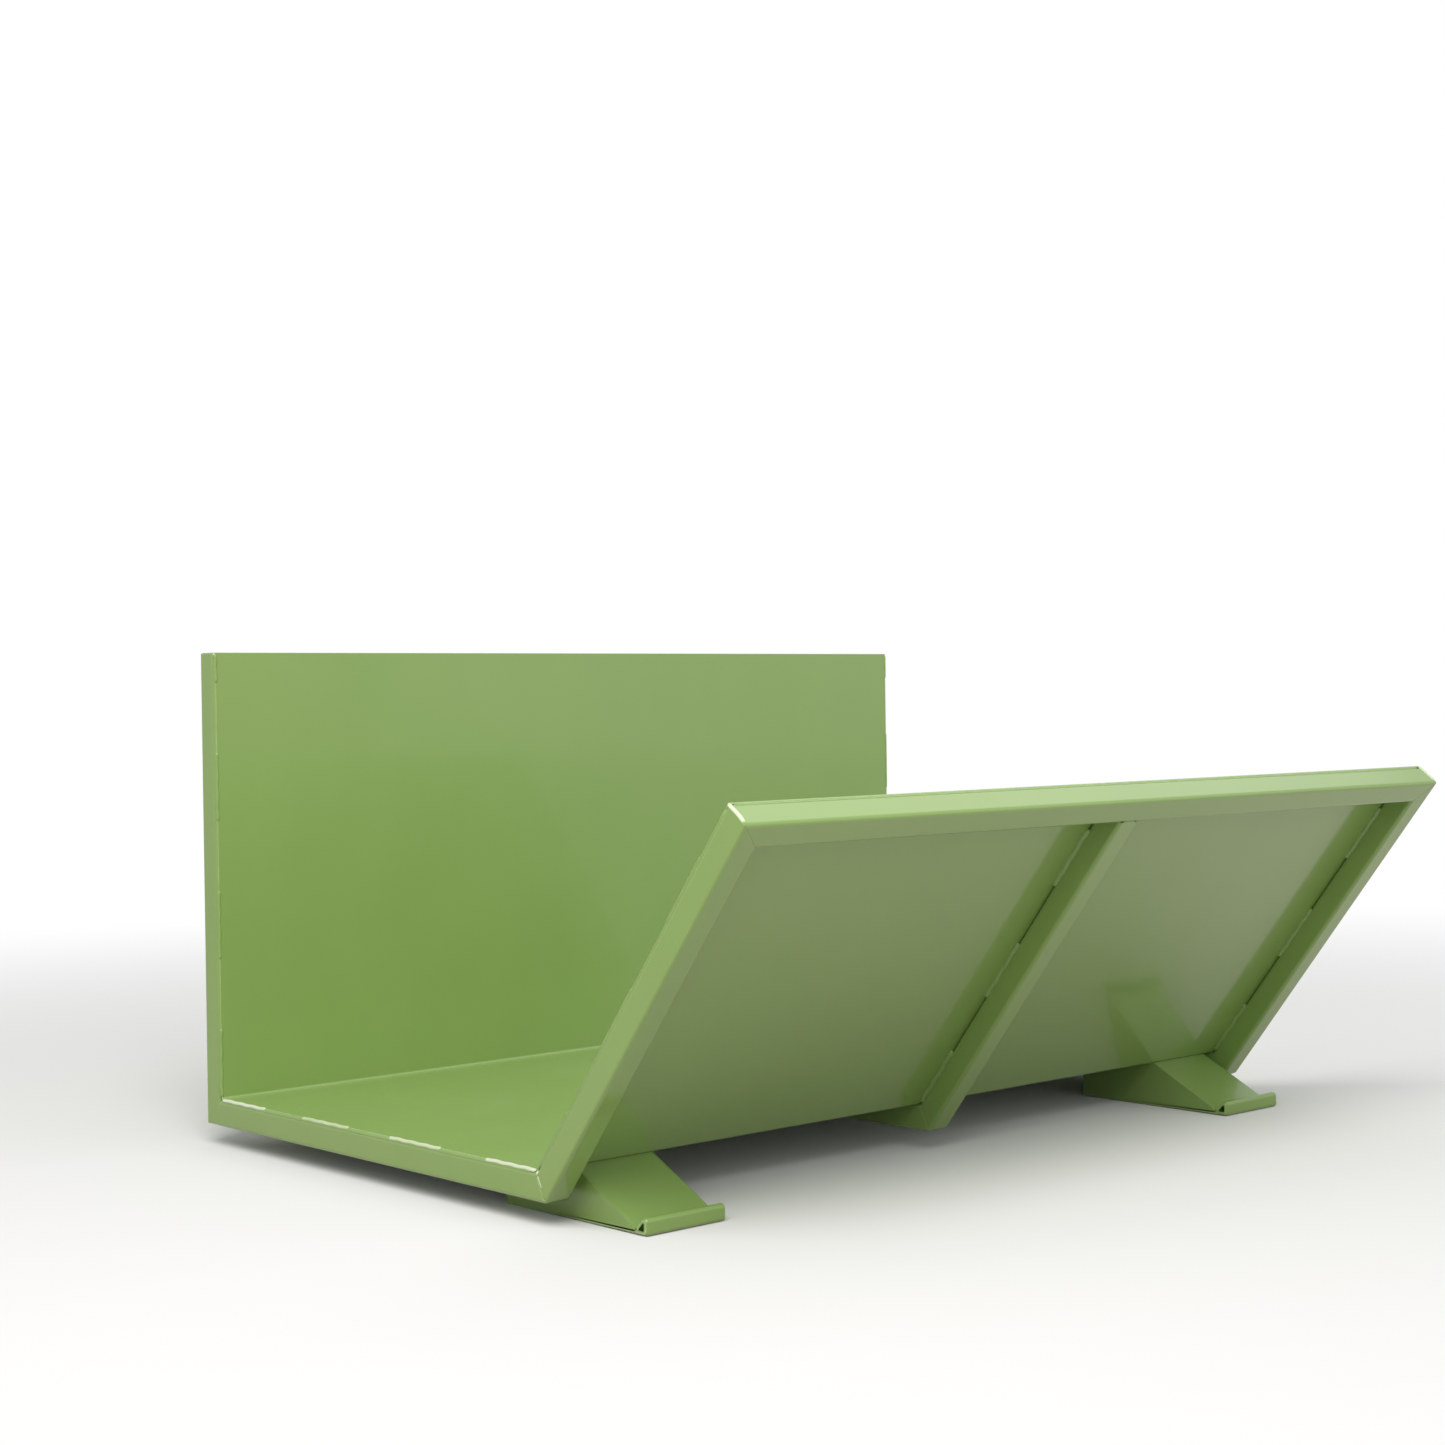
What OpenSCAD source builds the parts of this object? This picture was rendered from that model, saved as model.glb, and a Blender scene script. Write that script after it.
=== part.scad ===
// Fork-mounted trough: one folded sheet in a frame of square tube, open at both ends,
// with two toe pockets for fork tips and a clamp for each fork under the rear.
// Millimetres. +Z up, the slanted front wall faces -Y, X runs along the trough.
// The origin is the middle of the footprint, level with the feet.

/* [Trough] */
// Overall length, end to end
trough_l = 1500; // [1300:10:1800]
// Floor depth, from the back wall's inner face to the front fold
floor_d = 806; // [700:5:900]
// Height of the back wall above the floor
back_h = 698; // [500:1:900]
// Length of the front wall up its slope
front_s = 625; // [400:1:700]
// Slope of the front wall above the horizontal, in degrees
front_angle = 52; // [40:1:65]
// Height of the floor's top face above the ground
floor_h = 76; // [70:1:90]

/* [Sheet and tube] */
// Thickness of the folded sheet
sheet_t = 3; // [2:0.5:5]
// Inside radius of the sheet's two folds
fold_r = 4; // [3:0.5:8]
// How far the sheet's side edges stop short of the end ribs' outer faces
sheet_inset = 3; // [1:0.5:5]
// Outside size of the square tube
tube = 40; // [35:1:45]
// Wall thickness of the square tube
tube_wall = 3; // [2:0.5:4]
// Outside corner radius of the square tube
tube_r = 6; // [5:0.5:8]

/* [Toe pockets] */
// Distance between the middles of the two forks
fork_spacing = 1234; // [900:2:1300]
// Outside width of a toe pocket
toe_w = 138; // [130:1:160]
// Plate thickness of a toe pocket
toe_plate = 4; // [3:0.5:6]
// Length of a toe pocket's straight part, behind the front fold
toe_back = 150; // [100:1:300]
// Reach of a toe pocket in front of the front fold
toe_reach = 150; // [120:1:170]
// Height of the rolled lip at the tip of a toe pocket
lip_h = 24; // [20:1:28]
// Radius of a toe pocket's rear lower corners
toe_corner_r = 6; // [6:1:12]

/* [Fork clamps] */
// Length of the fork guide and the claw along the fork
claw_l = 120; // [90:5:200]
// Distance from the back wall's inner face to the claw's rear edge
claw_back = 70; // [50:5:150]
// Plate thickness of the fork guide and the claw
claw_t = 8; // [6:1:10]
// How far the claw's foot reaches under the fork
foot_reach = 100; // [60:5:110]
// Thread diameter of the clamp screw
screw_d = 16; // [12:1:20]
// Width across the flats of the screw head and the nut
hex_flats = 24; // [21:1:27]
// Travel of the clamp pad
pad_travel = 22; // [10:1:24]

/* [Hidden] */
$fn = 64;

enamel = [0.50, 0.65, 0.35];
zinc = [0.74, 0.74, 0.72];

// Outer face of the frame, measured from the sheet's inner face
frame_t = sheet_t + tube;
// The outermost point of the front wall, allowing for the tube's rounded corner
corner_loss = tube_r * (sin(front_angle) + cos(front_angle) - 1);
front_reach = floor_d + front_s * cos(front_angle) + frame_t * sin(front_angle) - corner_loss;
// Where the back wall's inner face stands, so that the footprint is centred on Y = 0
back_y = (front_reach - frame_t) / 2;

// Toe pocket, in the folds' frame: Y = 0 at the back wall's inner face, Z = 0 at the floor's top face
lip_core_r = 2;
lip_r = lip_core_r + toe_plate;
lip_core = lip_h - 2 * lip_r;
lip_front = -floor_d - toe_reach;
lip_low_front = [lip_front + lip_r, lip_r - floor_h];
lip_low_back = lip_low_front + [lip_core, 0];
lip_top = lip_low_front + [0, lip_core];
toe_rear = -floor_d + toe_back;
base_top = toe_plate - floor_h;
rear_corner = [toe_rear - toe_corner_r, toe_corner_r - floor_h];
plate_top_angle = -asin((toe_corner_r - toe_plate) / toe_corner_r);
// Where the bottom plate's top face runs into the lip
lip_join_angle = -asin((lip_r - toe_plate) / lip_r);
arc_steps = 8;
ramp_foot = [lip_front + lip_h - 3, 2 * toe_plate - floor_h];
ramp_drop = -sheet_t - ramp_foot.y;
ramp_run = -floor_d - ramp_foot.x;
ramp_angle = atan(ramp_drop / ramp_run);

// Clamp, in a fork's own place: X = 0 at the middle of the fork, and -X points to the trough's near end
toe_mid = fork_spacing / 2;
claw_face = toe_w / 2 - toe_plate / 2;
claw_front = -claw_back - claw_l;
guide_h = 55;
guide_corner = 14;
screw_y = -claw_back - claw_l / 2;
screw_z = -sheet_t - 23;
screw_r = screw_d / 2 - 0.07;
hole_play = 0.6;
pad_gap = 2;
pad_t = 8;
pad_r = 11;
tip_r = 5;
tip_play = 0.06;
tip_gap = 0.5;
socket_depth = 5;
nut_t = 13;
head_t = 10;
head_gap = 1;
hex_r = hex_flats / 2 / cos(30);
chamfer = 1.2;

// ---- Placing helpers ----

// The folds' frame: from the inner corner of the back fold, at floor level
module from_back_fold() {
    translate([0, back_y, floor_h]) children();
}

// Extrude an outline, drawn in Y and Z, along X about the middle
module across(w) {
    rotate([90, 0, 90]) linear_extrude(w, center = true) children();
}

// One flat of the folded sheet: Y runs along the flat, Z points outwards from its inner face
module flat_frame(start, angle) {
    from_back_fold() translate([0, start.x, start.y]) rotate([angle, 0, 0]) children();
}

// The back wall's flat starts at its top edge
module on_back_wall() {
    flat_frame([0, back_h], -90) children();
}

module on_floor() {
    flat_frame([0, 0], 180) children();
}

// The front wall's flat, turned end for end so that it too starts at its top edge
module on_front_wall() {
    flat_frame([-floor_d, 0], 180 - front_angle) translate([0, front_s, 0]) mirror([0, 1, 0]) children();
}

// A fork's own place: side is -1 for the left fork and 1 for the right, and local -X is outwards
module at_fork(side) {
    from_back_fold() translate([side * toe_mid, 0, 0]) mirror([side > 0 ? 1 : 0, 0, 0]) children();
}

// ---- Folded sheet ----

module fold_ring(angle_from, angle_to) {
    reach = 3 * (fold_r + sheet_t);
    intersection() {
        difference() {
            circle(fold_r + sheet_t);
            circle(fold_r);
        }
        polygon([[0, 0], reach * [cos(angle_from), sin(angle_from)], reach * [cos(angle_to), sin(angle_to)]]);
    }
}

module sheet_outline() {
    front_tangent = fold_r * tan(front_angle / 2);
    translate([0, fold_r]) square([sheet_t, back_h - fold_r]);
    translate([-fold_r, fold_r]) fold_ring(-90, 0);
    translate([front_tangent - floor_d, -sheet_t]) square([floor_d - front_tangent - fold_r, sheet_t]);
    translate([front_tangent - floor_d, fold_r]) fold_ring(-90, -90 - front_angle);
    translate([-floor_d, 0]) rotate(180 - front_angle) translate([front_tangent, 0])
        square([front_s - front_tangent, sheet_t]);
}

module trough_sheet() {
    color(enamel) from_back_fold() across(trough_l - 2 * sheet_inset) sheet_outline();
}

// ---- Tube frame ----

module rounded_square(size, r) {
    square([size, size - 2 * r], center = true);
    square([size - 2 * r, size], center = true);
    for (sx = [-1, 1], sy = [-1, 1]) translate([sx, sy] * (size / 2 - r)) circle(r);
}

// A length of square tube along +Y, from y0 to y1, lying on the sheet's outer face
module tube_along(y0, y1) {
    translate([0, y0, sheet_t + tube / 2]) rotate([-90, 0, 0]) linear_extrude(y1 - y0) difference() {
        rounded_square(tube, tube_r);
        rounded_square(tube - 2 * tube_wall, tube_r - tube_wall);
    }
}

// A rib on one flat, cut square at y0 or mitred by half of turn0, and mitred by half of turn1 at y1
module rib(y0, turn0, y1, turn1) {
    cut0 = tan(turn0 / 2);
    cut1 = tan(turn1 / 2);
    intersection() {
        tube_along(y0 - frame_t, y1 + frame_t);
        across(2 * tube) polygon([
            [y0 - sheet_t * cut0, sheet_t],
            [y0 - frame_t * cut0, frame_t],
            [y1 + frame_t * cut1, frame_t],
            [y1 + sheet_t * cut1, sheet_t]
        ]);
    }
}

// An end rib on a wall, mitred at 45 degrees under the top tube; side is -1 or 1
module end_rib(side, wall_len, turn) {
    outer = side * trough_l / 2;
    inner = outer - side * tube;
    intersection() {
        translate([(outer + inner) / 2, 0, 0]) rib(0, 0, wall_len, turn);
        linear_extrude(2 * frame_t) polygon([
            [outer, 0], [inner, tube], [inner, wall_len + frame_t], [outer, wall_len + frame_t]
        ]);
    }
}

// A middle rib on a wall stops square under the top tube
module middle_rib(wall_len, turn) {
    rib(tube, 0, wall_len, turn);
}

// The tube along a wall's top edge, mitred into the end ribs
module top_tube() {
    half = trough_l / 2;
    intersection() {
        translate([-half, tube / 2, 0]) rotate([0, 0, -90]) tube_along(0, trough_l);
        linear_extrude(2 * frame_t) polygon([[-half, 0], [half, 0], [half - tube, tube], [tube - half, tube]]);
    }
}

module floor_rib(x) {
    color(enamel) on_floor() translate([x, 0, 0]) rib(0, 90, floor_d, front_angle);
}

rib_x = (trough_l - tube) / 2;

module left_back_tube() { color(enamel) on_back_wall() end_rib(-1, back_h, 90); }
module right_back_tube() { color(enamel) on_back_wall() end_rib(1, back_h, 90); }
module centre_back_tube() { color(enamel) on_back_wall() middle_rib(back_h, 90); }
module left_floor_tube() { floor_rib(-rib_x); }
module right_floor_tube() { floor_rib(rib_x); }
module centre_floor_tube() { floor_rib(0); }
module left_front_tube() { color(enamel) on_front_wall() end_rib(-1, front_s, front_angle); }
module right_front_tube() { color(enamel) on_front_wall() end_rib(1, front_s, front_angle); }
module centre_front_tube() { color(enamel) on_front_wall() middle_rib(front_s, front_angle); }
module back_top_tube() { color(enamel) on_back_wall() top_tube(); }
module front_top_tube() { color(enamel) on_front_wall() top_tube(); }

// ---- Toe pockets ----

// Points along an arc about centre c, from angle a0 to a1
function arc(c, r, a0, a1) = [
    for (i = [0:arc_steps]) let (a = a0 + (a1 - a0) * i / arc_steps) c + r * [cos(a), sin(a)]
];

// The rolled lip's outline: a triangle with its corners rounded to r, around the lip's core
function lip_outline(r) = concat(
    arc(lip_low_front, r, 270, 180),
    arc(lip_top, r, 180, 45),
    arc(lip_low_back, r, 45, lip_join_angle),
    arc(lip_low_back, r, lip_join_angle, -90)
);

// The bottom plate, with its front edge rolled up and back into the lip
module toe_base(side) {
    color(enamel) at_fork(side) across(toe_w) difference() {
        polygon(concat(
            arc(lip_low_front, lip_r, 270, 180),
            arc(lip_top, lip_r, 180, 45),
            arc(lip_low_back, lip_r, 45, lip_join_angle),
            arc(rear_corner, toe_corner_r, plate_top_angle, -90)
        ));
        polygon(lip_outline(lip_core_r));
    }
}

// A side plate stands on the bottom plate; its sloping edge is level with the ramp's top face
module toe_side(side, edge) {
    color(enamel) at_fork(side) translate([edge * (toe_w - toe_plate) / 2, 0, 0]) across(toe_plate) difference() {
        polygon(concat(
            [[-floor_d, -sheet_t], ramp_foot, [ramp_foot.x, base_top]],
            arc(rear_corner, toe_corner_r, plate_top_angle, 0),
            [[toe_rear, -sheet_t]]
        ));
        polygon(lip_outline(lip_r));
    }
}

// The ramp between the side plates, from the front fold down to the rolled lip
module toe_ramp(side) {
    color(enamel) at_fork(side) across(toe_w - 2 * toe_plate) difference() {
        translate([-floor_d, -sheet_t]) rotate(180 + ramp_angle)
            square([norm([ramp_run, ramp_drop]), toe_plate]);
        polygon(lip_outline(lip_r));
    }
}

// ---- Fork clamps ----

// The upright that keeps the fork from drifting outwards, with its lower corners cut off
module fork_guide(side) {
    low = -sheet_t - guide_h;
    color(enamel) at_fork(side) translate([-toe_w / 2, 0, 0]) across(claw_t) polygon([
        [-claw_back, -sheet_t], [claw_front, -sheet_t],
        [claw_front, low + guide_corner], [claw_front + guide_corner, low],
        [-claw_back - guide_corner, low], [-claw_back, low + guide_corner]
    ]);
}

// A cylinder along X, from x0 to x1, on the clamp screw's axis
module on_screw_axis(x0, x1, r, sides = 64) {
    translate([x0, screw_y, screw_z]) rotate([0, 90, 0]) cylinder(h = x1 - x0, r = r, $fn = sides);
}

module claw_plate(side) {
    color(enamel) at_fork(side) difference() {
        translate([claw_face, claw_front, claw_t - floor_h])
            cube([claw_t, claw_l, floor_h - claw_t - sheet_t]);
        on_screw_axis(claw_face - 1, claw_face + claw_t + 1, screw_d / 2 + hole_play);
    }
}

// The foot hooks under the fork and stands level with the toe pockets
module claw_foot(side) {
    color(enamel) at_fork(side) translate([claw_face - foot_reach, claw_front, -floor_h])
        cube([foot_reach + claw_t, claw_l, claw_t]);
}

nut_x = claw_face + claw_t;
head_x = nut_x + nut_t + pad_travel + head_gap;
pad_x = claw_face - pad_gap - pad_t;
tip_x = pad_x + pad_t - socket_depth + tip_gap;

// A hexagon with its corners turned off towards x1
module hexagon(x0, x1) {
    intersection() {
        on_screw_axis(x0, x1, hex_r, 6);
        union() {
            on_screw_axis(x0, x1 - chamfer, hex_r + 1);
            translate([x1 - chamfer, screw_y, screw_z]) rotate([0, 90, 0])
                cylinder(h = chamfer, r1 = hex_r + 0.3, r2 = hex_flats / 2 - 0.4);
        }
    }
}

module clamp_nut(side) {
    color(enamel) at_fork(side) difference() {
        hexagon(nut_x, nut_x + nut_t);
        on_screw_axis(nut_x - 1, nut_x + nut_t + 1, screw_d / 2);
    }
}

module clamp_screw(side) {
    color(zinc) at_fork(side) {
        on_screw_axis(tip_x, pad_x + pad_t + tip_gap, tip_r);
        on_screw_axis(pad_x + pad_t + tip_gap, head_x, screw_r);
        hexagon(head_x, head_x + head_t);
    }
}

// The pad turns freely on the screw's tip, so it doesn't scrub the fork
module clamp_pad(side) {
    color(zinc) at_fork(side) difference() {
        union() {
            on_screw_axis(pad_x + chamfer, pad_x + pad_t, pad_r);
            translate([pad_x, screw_y, screw_z]) rotate([0, 90, 0])
                cylinder(h = chamfer, r1 = pad_r - chamfer, r2 = pad_r);
        }
        on_screw_axis(pad_x + pad_t - socket_depth, pad_x + pad_t + 1, tip_r + tip_play);
    }
}

// ---- Sub-parts ----

trough_sheet();
left_back_tube();
left_floor_tube();
left_front_tube();
centre_back_tube();
centre_floor_tube();
centre_front_tube();
right_back_tube();
right_floor_tube();
right_front_tube();
back_top_tube();
front_top_tube();
toe_base(-1);  // left_toe_base
toe_side(-1, -1);  // left_toe_outer_side
toe_side(-1, 1);  // left_toe_inner_side
toe_ramp(-1);  // left_toe_ramp
toe_base(1);  // right_toe_base
toe_side(1, -1);  // right_toe_outer_side
toe_side(1, 1);  // right_toe_inner_side
toe_ramp(1);  // right_toe_ramp
fork_guide(-1);  // left_fork_guide
claw_plate(-1);  // left_claw_plate
claw_foot(-1);  // left_claw_foot
clamp_nut(-1);  // left_clamp_nut
clamp_screw(-1);  // left_clamp_screw
clamp_pad(-1);  // left_clamp_pad
fork_guide(1);  // right_fork_guide
claw_plate(1);  // right_claw_plate
claw_foot(1);  // right_claw_foot
clamp_nut(1);  // right_clamp_nut
clamp_screw(1);  // right_clamp_screw
clamp_pad(1);  // right_clamp_pad
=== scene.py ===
"""Looks for an open-ended trough that is carried on a truck's forks.

Lengths are metres. +X runs along the trough, +Y points to the truck and +Z is up.
"""

import logging
import math
from collections.abc import Iterable, Iterator
from dataclasses import dataclass, field
from enum import Enum
from typing import Any, Protocol

import bmesh
import bpy
from bmesh.types import BMEdge, BMesh, BMFace, BMVert
from mathutils import Matrix, Vector


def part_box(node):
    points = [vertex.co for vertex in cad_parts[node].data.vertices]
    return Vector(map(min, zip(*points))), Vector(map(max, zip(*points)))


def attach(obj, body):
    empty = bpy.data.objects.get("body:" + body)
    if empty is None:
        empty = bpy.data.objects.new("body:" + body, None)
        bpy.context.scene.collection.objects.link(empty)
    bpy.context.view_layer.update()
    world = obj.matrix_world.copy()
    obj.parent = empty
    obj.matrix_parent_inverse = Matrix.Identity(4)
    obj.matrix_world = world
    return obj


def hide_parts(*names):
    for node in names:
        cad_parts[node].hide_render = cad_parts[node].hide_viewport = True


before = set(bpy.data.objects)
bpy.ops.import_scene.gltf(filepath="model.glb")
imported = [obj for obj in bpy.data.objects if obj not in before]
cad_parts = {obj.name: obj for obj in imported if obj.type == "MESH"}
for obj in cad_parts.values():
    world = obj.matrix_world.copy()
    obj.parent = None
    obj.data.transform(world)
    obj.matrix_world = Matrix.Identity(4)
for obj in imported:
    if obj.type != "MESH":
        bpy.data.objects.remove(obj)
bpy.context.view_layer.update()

LOG = logging.getLogger("trough")
MM = 0.001
TOUCHING = 0.01 * MM
Colour = tuple[float, float, float, float]
Place = tuple[float, float, float]
Span = tuple[float, float]
WHITE: Colour = (1.0, 1.0, 1.0, 1.0)


class Slot(Enum):
    """The finishes that the record names."""

    SHEET = "sheet_enamel"
    FRAME = "frame_enamel"
    TOE = "toe_enamel"
    CLAMP = "clamp_enamel"
    SCREW = "screw_zinc"
    PAD = "pad_steel"


class Side(Enum):
    """Which half of the trough a sub-assembly belongs to, and its sign along X."""

    LEFT = -1
    RIGHT = 1

    @property
    def word(self) -> str:
        """The word that piece names start with."""
        return self.name.lower()


# ---- Shader wiring ----


class Signal:
    """A shader output that can be used in sums like a number."""

    def __init__(self, wiring: "Wiring", socket: bpy.types.NodeSocket) -> None:
        """Keeps the output and the wiring that it belongs to."""
        self.wiring = wiring
        self.socket = socket

    def _maths(self, operation: str, *values: Any, clamp: bool = False) -> "Signal":
        """Adds a Math node.

        Args:
            operation: the Math node's operation.
            values: its inputs in order, signals or numbers.
            clamp: whether the result is held between 0 and 1.

        Returns:
            The node's result.
        """
        settings = {"operation": operation, "use_clamp": clamp}
        return self.wiring.node("ShaderNodeMath", settings, dict(enumerate(values)))

    def __add__(self, other: "Signal | float") -> "Signal":
        """This plus the other."""
        return self._maths("ADD", self, other)

    def __radd__(self, other: float) -> "Signal":
        """The other plus this."""
        return self._maths("ADD", other, self)

    def __sub__(self, other: "Signal | float") -> "Signal":
        """This less the other."""
        return self._maths("SUBTRACT", self, other)

    def __rsub__(self, other: float) -> "Signal":
        """The other less this."""
        return self._maths("SUBTRACT", other, self)

    def __mul__(self, other: "Signal | float") -> "Signal":
        """This times the other."""
        return self._maths("MULTIPLY", self, other)

    def __rmul__(self, other: float) -> "Signal":
        """The other times this."""
        return self._maths("MULTIPLY", other, self)

    def __pow__(self, other: float) -> "Signal":
        """This to a power."""
        return self._maths("POWER", self, other)

    def held(self) -> "Signal":
        """This, held between 0 and 1."""
        return self._maths("ADD", self, 0.0, clamp=True)

    def wave(self) -> "Signal":
        """The sine of this."""
        return self._maths("SINE", self)

    def ramp(self, low: float, high: float) -> "Signal":
        """A smooth step of this.

        Args:
            low: the value that gives 0.
            high: the value that gives 1.

        Returns:
            The step, between 0 and 1.
        """
        settings = {"interpolation_type": "SMOOTHSTEP"}
        feeds = {0: self, 1: low, 2: high, 3: 0.0, 4: 1.0}
        return self.wiring.node("ShaderNodeMapRange", settings, feeds)


class Wiring:
    """The nodes of one material or world."""

    def __init__(self, tree: bpy.types.NodeTree) -> None:
        """Takes an empty node tree over."""
        self.tree = tree
        tree.nodes.clear()

    def node(
        self,
        kind: str,
        settings: dict[str, Any] | None = None,
        feeds: dict[int | str, Any] | None = None,
        output: int | str = 0,
    ) -> Signal:
        """Adds a node, sets it up and joins its inputs.

        Args:
            kind: the node's type.
            settings: its own properties, set first.
            feeds: a signal or a plain value for each input, by index or name.
            output: the output that is wanted.

        Returns:
            The wanted output.
        """
        made = self.tree.nodes.new(kind)
        for name, value in (settings or {}).items():
            setattr(made, name, value)
        for key, value in (feeds or {}).items():
            if isinstance(value, Signal):
                self.tree.links.new(value.socket, made.inputs[key])
            else:
                made.inputs[key].default_value = value
        outputs = made.outputs
        return Signal(self, outputs[output] if len(outputs) else None)

    def place(self) -> Signal:
        """Object coordinates, in metres."""
        return self.node("ShaderNodeTexCoord", output="Object")

    def stretched(self, scale: Place) -> Signal:
        """Object coordinates, scaled differently along each axis."""
        return self.node("ShaderNodeMapping", {}, {"Vector": self.place(), "Scale": scale})

    def noise(self, scale: float, detail: float = 2.0, place: Signal | None = None) -> Signal:
        """Cloudy noise.

        Args:
            scale: features per metre.
            detail: how many finer layers are added.
            place: the coordinates, or none for Object coordinates.

        Returns:
            The noise, between 0 and 1.
        """
        feeds = {"Vector": place or self.place(), "Scale": scale, "Detail": detail}
        return self.node("ShaderNodeTexNoise", {}, feeds)

    def mixed(self, share: Signal | float, first: Any, second: Any) -> Signal:
        """A colour between two.

        Args:
            share: 0 for the first and 1 for the second.
            first: a colour or a signal.
            second: a colour or a signal.

        Returns:
            The mixed colour.
        """
        settings = {"data_type": "RGBA", "clamp_factor": True}
        return self.node("ShaderNodeMix", settings, {0: share, 6: first, 7: second}, 2)

    def bump(self, height: Signal, strength: float, distance: float) -> Signal:
        """A bumped normal.

        Args:
            height: the surface's height, from 0 to 1.
            strength: how strongly it shows.
            distance: what a height of 1 stands for, in metres.

        Returns:
            The normal.
        """
        feeds = {"Height": height, "Strength": strength, "Distance": distance}
        return self.node("ShaderNodeBump", {}, feeds)

    def surface(self, **sockets: Any) -> None:
        """Adds the surface shader and the material's output; names use _ for a space."""
        feeds = {name.replace("_", " "): value for name, value in sockets.items()}
        shader = self.node("ShaderNodeBsdfPrincipled", {}, feeds)
        self.node("ShaderNodeOutputMaterial", {}, {"Surface": shader})


class Finish(Protocol):
    """Anything that can dress a surface."""

    name: str

    def shade(self, wiring: Wiring) -> None:
        """Adds the finish's nodes."""


def material_for(finish: Finish) -> bpy.types.Material:
    """Returns the finish's material, made on first use."""
    known = bpy.data.materials.get(finish.name)
    if known:
        return known
    made = bpy.data.materials.new(finish.name)
    made.use_nodes = True
    finish.shade(Wiring(made.node_tree))
    return made


# Marks bevelled edge faces, which the enamel paints lighter: a painted edge highlight with some
# wear.
HIGHLIGHT_AND_WEAR_EDGE = "highlight_and_wear_edge"


@dataclass(frozen=True)
class Enamel:
    """Leaf-green enamel, sprayed over steel.

    Fields say how strongly its bevelled edges are painted lighter (a painted edge highlight with
    some wear), how far a load has scratched it, the height below which the ground has scuffed it,
    and how much gloss the open and the sheltered faces have kept.
    """

    name: str
    fresh: Colour = (0.280, 0.428, 0.118, 1.0)
    deep: Colour = (0.268, 0.414, 0.111, 1.0)
    # Lighter green: on bevelled edges a painted highlight with some wear, in scratches the colour
    # of wear.
    highlight_and_wear: Colour = (0.52, 0.66, 0.36, 1.0)
    dust: Colour = (0.46, 0.47, 0.38, 1.0)
    steel: Colour = (0.34, 0.33, 0.31, 1.0)
    roughness: float = 0.28
    edge_highlight_and_wear: float = 1.0
    scratches: float = 0.0
    scuff_height: float = 0.0
    open_gloss: float = 0.36
    sheltered_gloss: float = 0.90
    peel_depth: float = 0.5 * MM

    def shade(self, wiring: Wiring) -> None:
        """Adds the enamel's nodes."""
        film = wiring.noise(7.0, 3.0)
        runs = wiring.noise(1.0, 3.0, wiring.stretched((9.0, 9.0, 2.2)))
        peel = wiring.noise(110.0, 1.0)
        edge = wiring.node("ShaderNodeAttribute", {"attribute_name": HIGHLIGHT_AND_WEAR_EDGE}, output="Fac")
        facing = wiring.node("ShaderNodeNewGeometry", output="Normal")
        tilt = wiring.node("ShaderNodeSeparateXYZ", {}, {0: facing}, 2)
        up = tilt.ramp(0.2, 1.0)
        sheltered = 1.0 - tilt.ramp(-0.5, -0.1)

        shade = (film * 0.6 + runs * 0.4).ramp(0.3, 0.7)
        colour = wiring.mixed(shade, self.deep, self.fresh)
        dusty = up * wiring.noise(6.0, 4.0).ramp(0.4, 0.75) * 0.06
        colour = wiring.mixed(dusty, colour, self.dust)
        # Bevelled edges painted lighter: a painted highlight all along them, with noise patches of
        # wear.
        edge_highlight_and_wear_mask = edge * (wiring.noise(75.0, 3.0).ramp(0.3, 0.75) * 0.5 + 0.28) * self.edge_highlight_and_wear
        colour = wiring.mixed(edge_highlight_and_wear_mask, colour, self.highlight_and_wear)
        roughness = self.roughness + film * 0.04 + dusty * 0.5 + edge_highlight_and_wear_mask * 0.1
        height = peel * 0.06 + film * 0.5 + runs * 0.44
        metal: Signal | float = 0.0

        if self.scratches:
            along = wiring.noise(1.0, 1.0, wiring.stretched((5.0, 150.0, 150.0))).ramp(0.7, 0.78)
            across = wiring.noise(1.0, 1.0, wiring.stretched((170.0, 4.0, 7.0))).ramp(0.71, 0.78)
            loaded = wiring.noise(5.0, 2.0).ramp(0.45, 0.7)
            scored = (along + across).held() * loaded * up * self.scratches
            colour = wiring.mixed(scored, colour, self.highlight_and_wear)
            roughness = roughness + scored * 0.35
        if self.scuff_height:
            level = wiring.node("ShaderNodeSeparateXYZ", {}, {0: wiring.place()}, 2)
            low = 1.0 - level.ramp(self.scuff_height * 0.4, self.scuff_height)
            patches = wiring.noise(48.0, 6.0, wiring.stretched((1.0, 0.35, 1.0)))
            scuffed = low * patches.ramp(0.44, 0.58)
            colour = wiring.mixed(scuffed, colour, self.steel)
            roughness = roughness + scuffed * 0.2
            metal = scuffed * 0.85
        wiring.surface(
            Base_Color=colour,
            Roughness=roughness,
            Metallic=metal,
            Normal=wiring.bump(height, 0.3, self.peel_depth),
            Coat_Weight=self.open_gloss + sheltered * (self.sheltered_gloss - self.open_gloss),
            Coat_Roughness=0.1,
            Coat_IOR=1.6,
            IOR=1.5,
        )


@dataclass(frozen=True)
class ZincPlate:
    """Bright zinc plate, dulled a little in patches."""

    name: str = "zinc_plate"
    bright: Colour = (0.74, 0.75, 0.73, 1.0)
    dull: Colour = (0.5, 0.51, 0.5, 1.0)

    def shade(self, wiring: Wiring) -> None:
        """Adds the plate's nodes."""
        patches = wiring.noise(240.0, 4.0)
        grain = wiring.noise(1.0, 2.0, wiring.stretched((160.0, 1900.0, 1900.0)))
        wiring.surface(
            Base_Color=wiring.mixed(patches.ramp(0.35, 0.7), self.bright, self.dull),
            Metallic=1.0,
            Roughness=0.24 + patches * 0.2 + grain * 0.08,
            Normal=wiring.bump(grain * 0.6 + patches * 0.4, 0.25, 0.0002),
        )


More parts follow.
